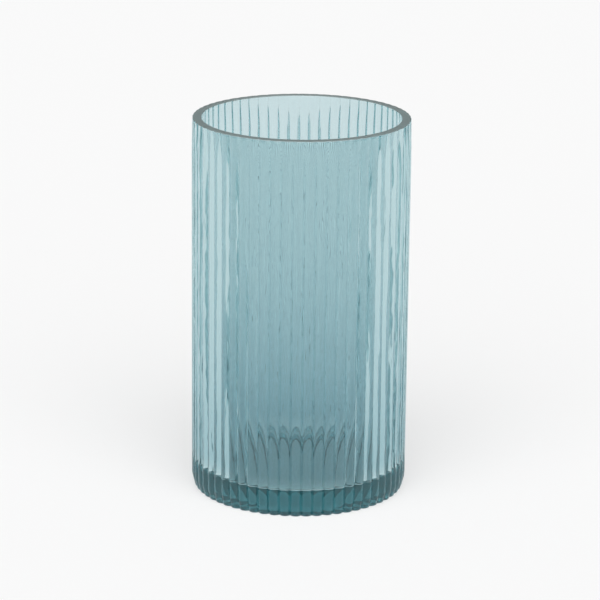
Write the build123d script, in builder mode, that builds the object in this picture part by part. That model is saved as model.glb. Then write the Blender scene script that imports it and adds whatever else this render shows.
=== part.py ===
from build123d import *

import os
from math import cos, radians, sin

# A straight cylinder vase pressed from one gob of glass. Its outside carries fine convex ribs that run
# from the heel up and fade towards the rim, its inside is a plain smooth well, and it stands on a broad
# foot ring around a very shallow recess. It comes out of the mould as one piece: nothing is joined on,
# and nothing moves.
#
# The origin is the middle of the foot ring, on the surface the vase stands on, and +Z is up its axis.
# All lengths are in millimetres and all angles in degrees.

os.makedirs("parts", exist_ok=True)

# Overall size
HEIGHT = 210.0
CREST_RADIUS = 60.0  # to the tops of the ribs, so the vase is 120 mm across

# Ribs: convex arcs side by side, which meet in narrow valleys
RIB_COUNT = 60  # a crest lies on +X, -X, +Y and -Y
RIB_DEPTH = 1.8  # from crest to valley
VALLEY_FILLET = 0.2  # the mould leaves the bottom of each valley slightly rounded

# Well
WALL_AT_CREST = 5.0
WELL_RADIUS = CREST_RADIUS - WALL_AT_CREST
FLOOR_HEIGHT = 13.8  # the thick base seen through the lower wall
WELL_CORNER_RADIUS = 2.5

# Rim: ground flat, with both edges broken. Below it the ribs fade in and the wall draws out to its
# full width.
RIM_BREAK = 0.35
RIM_FADE_HEIGHT = 20.0
RIM_FADE_STEPS = 4
RIM_RIB_SHARE = 0.3  # the ribs' depth at the rim, as a share of their full depth
RIM_DRAW_IN = 0.4  # the crests' radius is this much less at the rim

# Heel: the wall tapers in, and then turns under the vase on a small radius
HEEL_TAPER_HEIGHT = 6.4
HEEL_TAPER = 1.3  # how much the crests' radius loses over the taper
HEEL_RADIUS = 1.2
HEEL_STEPS = 2

# Recess in the underside, inside the foot ring
FOOT_INNER_RADIUS = 50.0
RECESS_WALL_HEIGHT = 0.5
RECESS_WALL_DRAFT = 1.5  # how much narrower the recess is at the top of its wall
RECESS_CENTRE_HEIGHT = 0.8  # the ceiling of the recess rises a little towards the middle

OVERCUT = 5.0  # cuts run this far past the faces they open

rib_pitch = 360 / RIB_COUNT


def around(radius, angle):
    """The point at this radius and angle in the plane of a section."""
    return (radius * cos(radians(angle)), radius * sin(radians(angle)))


def near_rim(height):
    """The radius to the crests and the rib depth at a height in the fade, with an easy start and end."""
    share = (height - (HEIGHT - RIM_FADE_HEIGHT)) / RIM_FADE_HEIGHT
    eased = share * share * (3 - 2 * share)
    return CREST_RADIUS - RIM_DRAW_IN * eased, RIB_DEPTH * (1 - (1 - RIM_RIB_SHARE) * eased)


# The outside as level sections, from the foot up: the heel's quarter round, its taper, the straight
# wall, the fade of the ribs and the outer break of the rim. Each is (height, radius to the crests, rib
# depth).
outer_sections = []
for step in range(HEEL_STEPS + 1):
    heel_angle = radians(90 * step / HEEL_STEPS)
    heel_height = HEEL_RADIUS * (1 - cos(heel_angle))
    heel_crest_radius = CREST_RADIUS - HEEL_TAPER - HEEL_RADIUS * (1 - sin(heel_angle))
    outer_sections.append((heel_height, heel_crest_radius, RIB_DEPTH))
outer_sections.append((HEEL_TAPER_HEIGHT, CREST_RADIUS, RIB_DEPTH))
for step in range(RIM_FADE_STEPS + 1):
    fade_height = HEIGHT - RIM_FADE_HEIGHT + (RIM_FADE_HEIGHT - RIM_BREAK) * step / RIM_FADE_STEPS
    outer_sections.append((fade_height, *near_rim(fade_height)))
rim_crest_radius, rim_rib_depth = near_rim(HEIGHT)
outer_sections.append((HEIGHT, rim_crest_radius - RIM_BREAK, rim_rib_depth))

with BuildPart() as glass_vessel:
    # Ribbed outside, solid through
    for section_height, section_crest_radius, section_rib_depth in outer_sections:
        valley_radius = section_crest_radius - section_rib_depth
        with BuildSketch(Plane.XY.offset(section_height)) as section:
            with BuildLine():
                for rib in range(RIB_COUNT):
                    crest_angle = rib * rib_pitch
                    ThreePointArc(
                        around(valley_radius, crest_angle - rib_pitch / 2),
                        around(section_crest_radius, crest_angle),
                        around(valley_radius, crest_angle + rib_pitch / 2),
                    )
            make_face()
            fillet(section.vertices(), radius=VALLEY_FILLET)
    loft(ruled=True)

    # Smooth well, with a rounded corner at its floor and the inner break of the rim
    with BuildSketch(Plane.XZ):
        with BuildLine():
            floor_line = Line((0, FLOOR_HEIGHT), (WELL_RADIUS - WELL_CORNER_RADIUS, FLOOR_HEIGHT))
            corner = RadiusArc(
                floor_line @ 1,
                (WELL_RADIUS, FLOOR_HEIGHT + WELL_CORNER_RADIUS),
                -WELL_CORNER_RADIUS,
            )
            Polyline(
                corner @ 1,
                (WELL_RADIUS, HEIGHT - RIM_BREAK),
                (WELL_RADIUS + RIM_BREAK, HEIGHT),
                (WELL_RADIUS + RIM_BREAK, HEIGHT + OVERCUT),
                (0, HEIGHT + OVERCUT),
                floor_line @ 0,
            )
        make_face()
    revolve(axis=Axis.Z, mode=Mode.SUBTRACT)

    # Recess under the base: a drafted wall inside the foot ring, and a ceiling that rises to the middle
    recess_top_radius = FOOT_INNER_RADIUS - RECESS_WALL_DRAFT
    with BuildSketch(Plane.XZ):
        with BuildLine():
            ceiling = ThreePointArc(
                (-recess_top_radius, RECESS_WALL_HEIGHT),
                (0, RECESS_CENTRE_HEIGHT),
                (recess_top_radius, RECESS_WALL_HEIGHT),
            )
            Polyline(
                ceiling @ 1,
                (FOOT_INNER_RADIUS, 0),
                (FOOT_INNER_RADIUS, -OVERCUT),
                (-FOOT_INNER_RADIUS, -OVERCUT),
                (-FOOT_INNER_RADIUS, 0),
                ceiling @ 0,
            )
        make_face()
        split(bisect_by=Plane.YZ, keep=Keep.TOP)
    revolve(axis=Axis.Z, mode=Mode.SUBTRACT)

glass_vessel.part.label = "glass_vessel"
export_step(glass_vessel.part, "parts/glass_vessel.step")
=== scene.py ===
"""A ribbed glass cylinder vase on a pale studio floor.

The CAD node gives the place and the size. The glass itself is one closed mesh, made here with the same
ribs, well and foot, and with the slight unevenness that glass has when it comes out of a mould.
Lengths are in metres, in the CAD's frame: +Z up, with the vase's axis on Z.
"""

from math import cos, exp, pi, radians, sin

import bpy
import numpy as np
from mathutils import Euler, Matrix, Vector


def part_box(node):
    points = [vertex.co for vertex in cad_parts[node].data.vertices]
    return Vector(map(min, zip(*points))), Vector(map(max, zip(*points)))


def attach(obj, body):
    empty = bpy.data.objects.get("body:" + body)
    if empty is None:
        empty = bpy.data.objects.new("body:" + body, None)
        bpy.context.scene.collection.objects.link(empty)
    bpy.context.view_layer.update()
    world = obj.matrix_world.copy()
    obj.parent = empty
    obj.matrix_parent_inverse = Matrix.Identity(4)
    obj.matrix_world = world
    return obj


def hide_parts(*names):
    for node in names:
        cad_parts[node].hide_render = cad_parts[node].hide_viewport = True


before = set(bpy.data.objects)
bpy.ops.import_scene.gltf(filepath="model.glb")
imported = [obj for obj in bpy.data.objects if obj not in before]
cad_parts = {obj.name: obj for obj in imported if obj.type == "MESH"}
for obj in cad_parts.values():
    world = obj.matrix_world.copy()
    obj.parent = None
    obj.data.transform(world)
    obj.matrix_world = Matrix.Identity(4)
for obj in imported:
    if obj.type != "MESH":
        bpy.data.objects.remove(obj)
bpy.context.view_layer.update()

MM = 0.001
GLASS_NODE = "glass_vessel"

# ---------------------------------------------------------------------------------------------------
# Sizes of the vase. The outside comes from the CAD node's box, and the rest repeats its dimensions.
# ---------------------------------------------------------------------------------------------------
node_low, node_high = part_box(GLASS_NODE)
BASE_Z = node_low.z
RIM_Z = node_high.z
CREST_RADIUS = (node_high.x - node_low.x) / 2
HEIGHT = RIM_Z - BASE_Z

RIB_COUNT = 60
RIB_DEPTH = 1.8 * MM
VALLEY_FILL = 0.06 * MM  # how much the rounded bottom of a valley stands above a sharp one
WELL_RADIUS = CREST_RADIUS - 5.0 * MM
FLOOR_Z = BASE_Z + 13.8 * MM
WELL_CORNER_RADIUS = 2.5 * MM
RIM_BREAK = 0.35 * MM
HEEL_RADIUS = 1.2 * MM
HEEL_TAPER = 1.3 * MM  # how far the wall draws in above the heel
HEEL_TAPER_HEIGHT = 6.4 * MM
HEEL_TURN_END = -14  # degrees, where the turn under the vase meets the taper
SHOULDER_EASE = (0.05 * MM, 0.25 * MM)  # in and down: eases the taper's top into the wall
SHOULDER_RISE = 0.3 * MM
FOOT_EASE = (0.25 * MM, 0.15 * MM)  # out and up: the foot ring's inner edge is slightly rounded
FOOT_INNER_RADIUS = 50.0 * MM
RECESS_WALL_HEIGHT = 0.5 * MM
RECESS_WALL_DRAFT = 1.5 * MM
RECESS_CENTRE_HEIGHT = 0.8 * MM

RIM_DRAW_IN = 0.4 * MM  # the rim is this much narrower than the wall below it
RIM_DRAW_HEIGHT = 28 * MM  # and narrows over this height
RIM_RIB_SHARE = 0.3  # the ribs are this much of their depth at the rim
RIM_FADE_HEIGHT = 20 * MM  # and reach their full depth this far below it

WAVE_SEED = 7
WAVES = (  # count, waves round the well from and to, waves up it at most, height of each
    (6, 2, 9, 1.5, 0.05 * MM),
    (10, 14, 40, 2.5, 0.022 * MM),
    (14, 50, 105, 3.0, 0.006 * MM),
)
WAVE_CLEAR_BELOW = 1 * MM  # the waves keep this far above the well's floor
WAVE_CLEAR_ABOVE = 2 * MM  # and this far below the rim

STEPS_PER_RIB = 12
WALL_STEP = 4 * MM
WELL_STEP = 6 * MM
FLOOR_STEP = 8 * MM
FOOT_STEP = 3 * MM
TAPER_STEP = 1.7 * MM

# ---------------------------------------------------------------------------------------------------
# Camera
# ---------------------------------------------------------------------------------------------------
CAMERA_DISTANCE = 1.473  # level distance from the vase's axis
CAMERA_HEIGHT = 0.541
CAMERA_AZIMUTH = radians(1.3)
CAMERA_PITCH = radians(16.45)  # below the horizon
CAMERA_ROLL = radians(0.589)
CAMERA_LENS = 166.2  # mm, on a 36 mm sensor


def make_camera():
    data = bpy.data.cameras.new("camera")
    data.sensor_width = 36
    data.lens = CAMERA_LENS
    data.clip_start = 0.05
    data.clip_end = 50
    camera = bpy.data.objects.new("camera", data)
    bpy.context.scene.collection.objects.link(camera)
    camera.location = (
        CAMERA_DISTANCE * sin(CAMERA_AZIMUTH),
        -CAMERA_DISTANCE * cos(CAMERA_AZIMUTH),
        BASE_Z + CAMERA_HEIGHT,
    )
    aim = Euler((pi / 2 - CAMERA_PITCH, 0, CAMERA_AZIMUTH)).to_matrix()
    camera.rotation_euler = (aim @ Matrix.Rotation(CAMERA_ROLL, 3, "Z")).to_euler()
    bpy.context.scene.camera = camera


# ---------------------------------------------------------------------------------------------------
# The glass mesh
# ---------------------------------------------------------------------------------------------------
def arc(centre_r, centre_z, radius, start, end, steps):
    """Stations along an arc in the plane of radius and height. Angles in degrees, 0 is outwards."""
    angles = np.radians(np.linspace(start, end, steps + 1))
    return [(centre_r + radius * cos(a), centre_z + radius * sin(a)) for a in angles]


def straight(start, end, step):
    """Stations from start to end about this far apart, with both ends left out."""
    start, end = np.array(start), np.array(end)
    count = max(int(round(np.linalg.norm(end - start) / step)), 1)
    return [tuple(start + (end - start) * i / count) for i in range(1, count)]


def profile():
    """The closed profile as (radius, height, rib weight), from the recess's middle to the well's middle.

    The rib weight says how much of the rib shape a station has: 1 outside, 0 inside and underneath.
    """
    under = []
    ceiling_rise = RECESS_CENTRE_HEIGHT - RECESS_WALL_HEIGHT
    recess_top = FOOT_INNER_RADIUS - RECESS_WALL_DRAFT
    for share in np.linspace(0, 1, 7)[1:]:
        under.append((recess_top * share, BASE_Z + RECESS_WALL_HEIGHT + ceiling_rise * (1 - share**2)))
    under.append((FOOT_INNER_RADIUS, BASE_Z + FOOT_EASE[1]))
    under.append((FOOT_INNER_RADIUS + FOOT_EASE[0], BASE_Z))
    heel_out = CREST_RADIUS - HEEL_TAPER
    foot_outer = heel_out - HEEL_RADIUS - RIB_DEPTH
    under += straight((FOOT_INNER_RADIUS, BASE_Z), (foot_outer, BASE_Z), FOOT_STEP)
    heel = arc(heel_out - HEEL_RADIUS, BASE_Z + HEEL_RADIUS, HEEL_RADIUS, -90, HEEL_TURN_END, 5)
    taper_z = BASE_Z + HEEL_TAPER_HEIGHT
    taper_shoulder = (CREST_RADIUS, taper_z + SHOULDER_RISE)
    heel += straight(heel[-1], (CREST_RADIUS, taper_z), TAPER_STEP)
    heel += [(CREST_RADIUS - SHOULDER_EASE[0], taper_z - SHOULDER_EASE[1]), taper_shoulder]
    wall_top = (CREST_RADIUS, RIM_Z - RIM_BREAK)
    wall = straight(taper_shoulder, wall_top, WALL_STEP)
    rim_out = arc(CREST_RADIUS - RIM_BREAK, RIM_Z - RIM_BREAK, RIM_BREAK, 0, 90, 3)
    rim_in = arc(WELL_RADIUS + RIM_BREAK, RIM_Z - RIM_BREAK, RIM_BREAK, 90, 180, 3)
    well_corner = arc(
        WELL_RADIUS - WELL_CORNER_RADIUS, FLOOR_Z + WELL_CORNER_RADIUS, WELL_CORNER_RADIUS, 0, -90, 8
    )
    well = straight(rim_in[-1], well_corner[0], WELL_STEP)
    floor = straight(well_corner[-1], (0, FLOOR_Z), FLOOR_STEP)
    outside = [(r, z, 1.0) for r, z in heel + wall + rim_out]
    inside = [(r, z, 0.0) for r, z in rim_in + well + well_corner + floor]
    return [(r, z, 0.0) for r, z in under] + outside + inside


def rib_inset(angle):
    """How far the ribbed outside lies inside the crest circle at these angles."""
    pitch = 2 * pi / RIB_COUNT
    off_crest = np.abs((angle + pitch / 2) % pitch - pitch / 2)
    valley = CREST_RADIUS - RIB_DEPTH
    half_chord = valley * sin(pitch / 2)
    rise = CREST_RADIUS - valley * cos(pitch / 2)
    arc_radius = (half_chord**2 + rise**2) / (2 * rise)
    centre = CREST_RADIUS - arc_radius
    reach = centre * np.cos(off_crest) + np.sqrt(arc_radius**2 - (centre * np.sin(off_crest)) ** 2)
    return np.minimum(CREST_RADIUS - reach, RIB_DEPTH - VALLEY_FILL)


def ring_angles():
    """Angles round one ring, closer together near the valleys, where the ribs turn most."""
    pitch = 2 * pi / RIB_COUNT
    share = np.sin(pi * (np.arange(STEPS_PER_RIB) / STEPS_PER_RIB - 0.5)) / 2
    return (np.arange(RIB_COUNT)[:, None] * pitch + share[None] * pitch).ravel()


def rib_share(z):
    """How much of the full rib depth there is at this height. The ribs fade towards the rim."""
    below = min(max((RIM_Z - z) / RIM_FADE_HEIGHT, 0.0), 1.0)
    return RIM_RIB_SHARE + (1 - RIM_RIB_SHARE) * below * below * (3 - 2 * below)


def well_waves():
    """The waves on the well's wall, as rows of waves round, waves up, phase and height."""
    random = np.random.default_rng(WAVE_SEED)
    rows = []
    for count, low, high, up, height in WAVES:
        for _ in range(count):
            around = random.integers(low, high + 1)
            rows.append((around, random.uniform(-up, up), random.uniform(0, 2 * pi), height))
    return rows


def waviness(angles, z, waves):
    """How far the well's wall stands in from a true cylinder at these angles."""
    total = np.zeros(len(angles))
    for around, up, phase, height in waves:
        total += height * np.sin(around * angles + 2 * pi * up * (z - BASE_Z) / HEIGHT + phase)
    return total


def make_glass():
    angles = ring_angles()
    inset = rib_inset(angles)
    waves = well_waves()
    stations = profile()
    count = len(angles)
    points = [(0, 0, BASE_Z + RECESS_CENTRE_HEIGHT)]
    for r, z, weight in stations:
        draw = max(0.0, (z - (RIM_Z - RIM_DRAW_HEIGHT)) / RIM_DRAW_HEIGHT) ** 2 * RIM_DRAW_IN
        wavy = 0.0
        if weight == 0 and FLOOR_Z + WAVE_CLEAR_BELOW < z < RIM_Z - WAVE_CLEAR_ABOVE:
            wavy = waviness(angles, z, waves)
        radius = r - draw - weight * rib_share(z) * inset - wavy
        points += zip(radius * np.cos(angles), radius * np.sin(angles), np.full(count, z))
    points.append((0, 0, FLOOR_Z))
    last = len(points) - 1
    faces = []
    for i in range(count):
        faces.append((0, 1 + (i + 1) % count, 1 + i))
    for ring in range(len(stations) - 1):
        low, high = 1 + ring * count, 1 + (ring + 1) * count
        for i in range(count):
            j = (i + 1) % count
            faces.append((low + i, low + j, high + j, high + i))
    top = 1 + (len(stations) - 1) * count
    for i in range(count):
        faces.append((top + i, top + (i + 1) % count, last))
    mesh = bpy.data.meshes.new("vase_glass")
    mesh.from_pydata(points, [], faces)
    mesh.validate()
    mesh.polygons.foreach_set("use_smooth", [True] * len(mesh.polygons))
    mesh.update()
    glass = bpy.data.objects.new("vase_glass", mesh)
    bpy.context.scene.collection.objects.link(glass)
    return glass


# ---------------------------------------------------------------------------------------------------
# Materials
# ---------------------------------------------------------------------------------------------------
GLASS_TINT = (0.69, 0.803, 0.826)
GLASS_IOR = 1.5
RIM_COLOUR = (0.22, 0.265, 0.262)
RIM_ROUGHNESS = 0.6
RIM_TRANSMISSION = 0.35
PAINTED_SHADE_BY_HEIGHT = (  # height, and how much painted shade darkens the colour there, standing in for the vase's tinted shadow on the floor behind it, seen through the glass: a fit to the photograph
    (0.0 * MM, 0.0),
    (14.0 * MM, 0.0),
    (22.0 * MM, 0.42),
    (45.0 * MM, 0.34),
    (70.0 * MM, 0.20),
    (100.0 * MM, 0.12),
    (125.0 * MM, 0.055),
    (180.0 * MM, 0.0),
)
PAINTED_SHADE_RATIO = (1.0, 0.61, 0.5)  # how strongly the painted shade darkens red, green and blue
RIPPLE_HEIGHT = 0.09 * MM
RIPPLES_PER_METRE = (650, 650, 70)
RIPPLE_SHARE = (  # height, and how much of the ripples' height there is
    (0.0 * MM, 0.0),
    (16.0 * MM, 0.0),
    (30.0 * MM, 1.0),
    (165.0 * MM, 1.0),
    (195.0 * MM, 0.25),
    (210.0 * MM, 0.0),
)
ABSORPTION = (22.0, 10.5, 9.5)  # per metre, for red, green and blue
ABSORPTION_DENSITY = 50.0


def new_material(name):
    material = bpy.data.materials.new(name)
    material.use_nodes = True
    nodes = material.node_tree.nodes
    links = material.node_tree.links
    return material, nodes, links, nodes["Principled BSDF"]


def fill_ramp(ramp, stops):
    """Gives a colour ramp these stops, as rows of position and colour."""
    elements = ramp.color_ramp.elements
    while len(elements) < len(stops):
        elements.new(1.0)
    for element, (position, _) in zip(elements, stops):
        element.position = position
    for element, (_, colour) in zip(elements, stops):
        element.color = (*colour, 1)


# The glass's tint, darkened by this much painted shade
def tint_with_painted_shade(painted_shade):
    return [tint * exp(-painted_shade * ratio) for tint, ratio in zip(GLASS_TINT, PAINTED_SHADE_RATIO)]


def glass_material():
    material, nodes, links, shader = new_material("teal_glass")
    shader.inputs["IOR"].default_value = GLASS_IOR
    volume = nodes.new("ShaderNodeVolumeAbsorption")
    volume.inputs["Density"].default_value = ABSORPTION_DENSITY
    volume.inputs["Color"].default_value = (*[1 - a / ABSORPTION_DENSITY for a in ABSORPTION], 1)
    links.new(volume.outputs["Volume"], nodes["Material Output"].inputs["Volume"])

    place = nodes.new("ShaderNodeTexCoord")
    split = nodes.new("ShaderNodeSeparateXYZ")
    links.new(place.outputs["Object"], split.inputs[0])

    # The ground rim: frosted, by height
    ground = nodes.new("ShaderNodeMapRange")
    links.new(split.outputs["Z"], ground.inputs["Value"])
    ground.inputs["From Min"].default_value = RIM_Z - RIM_BREAK
    ground.inputs["From Max"].default_value = RIM_Z - RIM_BREAK / 2
    frosting = (("Roughness", 0.0, RIM_ROUGHNESS), ("Transmission Weight", 1.0, RIM_TRANSMISSION))
    for socket, clear, frosted in frosting:
        blend = nodes.new("ShaderNodeMapRange")
        blend.inputs["To Min"].default_value = clear
        blend.inputs["To Max"].default_value = frosted
        links.new(ground.outputs["Result"], blend.inputs["Value"])
        links.new(blend.outputs["Result"], shader.inputs[socket])

    # The glass's colour by height, darkened towards the base by painted shade, which gives way to the
    # rim's
    tint = nodes.new("ShaderNodeMix")
    tint.data_type = "RGBA"
    ramp = nodes.new("ShaderNodeValToRGB")
    height_share = nodes.new("ShaderNodeMapRange")
    height_share.inputs["From Min"].default_value = BASE_Z
    height_share.inputs["From Max"].default_value = RIM_Z
    links.new(split.outputs["Z"], height_share.inputs["Value"])
    links.new(height_share.outputs["Result"], ramp.inputs["Fac"])
    fill_ramp(ramp, [(height / HEIGHT, tint_with_painted_shade(painted_shade)) for height, painted_shade in PAINTED_SHADE_BY_HEIGHT])
    links.new(ramp.outputs["Color"], tint.inputs["A"])
    tint.inputs["B"].default_value = (*RIM_COLOUR, 1)
    links.new(ground.outputs["Result"], tint.inputs["Factor"])
    links.new(tint.outputs["Result"], shader.inputs["Base Color"])

    # Fine upright ripples, which die away towards the rim and the base
    stretched = nodes.new("ShaderNodeMapping")
    stretched.inputs["Scale"].default_value = RIPPLES_PER_METRE
    links.new(place.outputs["Object"], stretched.inputs["Vector"])
    ripple = nodes.new("ShaderNodeTexNoise")
    ripple.inputs["Scale"].default_value = 1.0
    ripple.inputs["Detail"].default_value = 1.0
    links.new(stretched.outputs["Vector"], ripple.inputs["Vector"])
    share = nodes.new("ShaderNodeValToRGB")
    links.new(height_share.outputs["Result"], share.inputs["Fac"])
    fill_ramp(share, [(height / HEIGHT, (level,) * 3) for height, level in RIPPLE_SHARE])
    faded = nodes.new("ShaderNodeMath")
    faded.operation = "MULTIPLY"
    links.new(ripple.outputs["Fac"], faded.inputs[0])
    links.new(share.outputs["Color"], faded.inputs[1])
    bump = nodes.new("ShaderNodeBump")
    bump.inputs["Distance"].default_value = RIPPLE_HEIGHT
    links.new(faded.outputs["Value"], bump.inputs["Height"])
    links.new(bump.outputs["Normal"], shader.inputs["Normal"])
    return material


def floor_material():
    material, nodes, links, shader = new_material("pale_floor")
    shader.inputs["Base Color"].default_value = (*FLOOR_COLOUR, 1)
    shader.inputs["Roughness"].default_value = 0.9
    shader.inputs["Specular IOR Level"].default_value = 0.1
    shader.inputs["Emission Color"].default_value = WHITE
    shader.inputs["Emission Strength"].default_value = FLOOR_GLOW
    return material


# ---------------------------------------------------------------------------------------------------
# Studio: a plain pale floor, lit by a soft sky that is brightest above and behind the camera
# ---------------------------------------------------------------------------------------------------
FLOOR_COLOUR = (0.42, 0.42, 0.42)
FLOOR_GLOW = 0.502  # the floor's own light, which keeps the contact shadow faint
FLOOR_GAP = 0.02 * MM  # the foot ring stands this far above the floor, as between its high spots
FLOOR_HALF = 6.0
KEY_DIRECTION = (0.0, -0.78, 0.62)
KEY_START = 0.55  # cosine of the angle from the key's middle where it begins
KEY_END = 0.97  # and where it is full
KEY_STRENGTH = 3.05
SKY_STRENGTH = 0.29
SURROUND_COLOUR = (0.03, 0.06, 0.075)  # a dark teal, which the sky fades into near the horizon
SKY_FROM = -0.05  # upward part of a direction where the sky begins
SKY_TO = 0.3  # and where it is full
PALE = 0.947  # of the backdrop, the same as the lit floor
WHITE = (1, 1, 1, 1)


def make_floor():
    z = BASE_Z - FLOOR_GAP
    mesh = bpy.data.meshes.new("ground")
    corners = [(FLOOR_HALF * x, FLOOR_HALF * y, z) for x, y in ((-1, -1), (1, -1), (1, 1), (-1, 1))]
    mesh.from_pydata(corners, [], [(0, 1, 2, 3)])
    mesh.materials.append(floor_material())
    ground = bpy.data.objects.new("ground", mesh)
    bpy.context.scene.collection.objects.link(ground)


def make_world():
    world = bpy.data.worlds.new("studio")
    world.use_nodes = True
    nodes, links = world.node_tree.nodes, world.node_tree.links
    studio = nodes["Background"]
    direction = nodes.new("ShaderNodeTexCoord")
    towards_key = nodes.new("ShaderNodeVectorMath")
    towards_key.operation = "DOT_PRODUCT"
    towards_key.inputs[1].default_value = Vector(KEY_DIRECTION).normalized()
    links.new(direction.outputs["Generated"], towards_key.inputs[0])
    key = nodes.new("ShaderNodeMapRange")
    key.interpolation_type = "SMOOTHSTEP"
    key.inputs["From Min"].default_value = KEY_START
    key.inputs["From Max"].default_value = KEY_END
    key.inputs["To Min"].default_value = 0.0
    key.inputs["To Max"].default_value = KEY_STRENGTH
    links.new(towards_key.outputs["Value"], key.inputs["Value"])
    split = nodes.new("ShaderNodeSeparateXYZ")
    links.new(direction.outputs["Generated"], split.inputs[0])
    sky = nodes.new("ShaderNodeMapRange")
    sky.interpolation_type = "SMOOTHSTEP"
    sky.inputs["From Min"].default_value = SKY_FROM
    sky.inputs["From Max"].default_value = SKY_TO
    links.new(split.outputs["Z"], sky.inputs["Value"])
    colour = nodes.new("ShaderNodeMix")
    colour.data_type = "RGBA"
    colour.inputs["A"].default_value = (*SURROUND_COLOUR, 1)
    colour.inputs["B"].default_value = (SKY_STRENGTH,) * 3 + (1,)
    links.new(sky.outputs["Result"], colour.inputs["Factor"])
    total = nodes.new("ShaderNodeVectorMath")
    total.operation = "ADD"
    links.new(key.outputs["Result"], total.inputs[0])
    links.new(colour.outputs["Result"], total.inputs[1])
    links.new(total.outputs["Vector"], studio.inputs["Color"])
    # What the camera sees directly past the ground's edge is as pale as the ground
    pale = nodes.new("ShaderNodeBackground")
    pale.inputs["Color"].default_value = WHITE
    pale.inputs["Strength"].default_value = PALE
    path = nodes.new("ShaderNodeLightPath")
    mix = nodes.new("ShaderNodeMixShader")
    links.new(path.outputs["Is Camera Ray"], mix.inputs["Fac"])
    links.new(studio.outputs["Background"], mix.inputs[1])
    links.new(pale.outputs["Background"], mix.inputs[2])
    links.new(mix.outputs["Shader"], nodes["World Output"].inputs["Surface"])
    bpy.context.scene.world = world


def set_light_paths():
    scene = bpy.context.scene
    scene.view_settings.view_transform = "Standard"
    scene.cycles.max_bounces = 32
    scene.cycles.transmission_bounces = 32
    scene.cycles.glossy_bounces = 16
    scene.cycles.diffuse_bounces = 4


make_camera()
glass = make_glass()
glass.data.materials.append(glass_material())
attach(glass, "root")
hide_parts(GLASS_NODE)
make_floor()
make_world()
set_light_paths()
